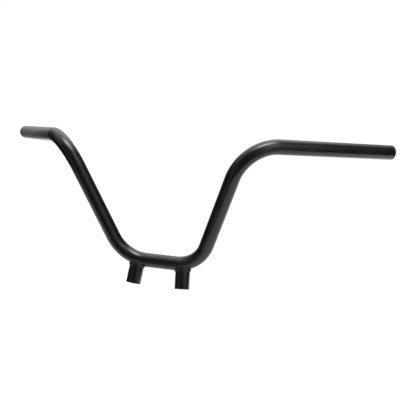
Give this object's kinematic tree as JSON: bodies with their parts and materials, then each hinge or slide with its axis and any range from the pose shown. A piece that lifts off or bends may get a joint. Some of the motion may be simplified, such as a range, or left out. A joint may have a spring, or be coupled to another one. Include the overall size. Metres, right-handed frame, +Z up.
{
  "type": "ape hanger handlebar",
  "caption": "Tall, flared motorbike handlebar in round steel tube, with swept grips and two short welded riser posts with tapped feet.",
  "frame": {"origin": "midway between the centres of the two riser feet, on the yoke's seat", "axes": "+X to the rider's left, +Y to the rider (rear), +Z up along the uprights as the bar sits in use"},
  "size_m": [0.7704, 0.2386, 0.273],
  "materials": {
    "tube_coat": "satin black powder coat on bent steel tube",
    "riser_coat": "satin black powder coat on turned steel",
    "weld_coat": "satin black powder coat over the ripples of a weld bead"
  },
  "bodies": {
    "root": {"handlebar_tube": "tube_coat", "left_riser": "riser_coat", "right_riser": "riser_coat", "left_weld_bead": "weld_coat", "right_weld_bead": "weld_coat"}
  },
  "joints": []
}
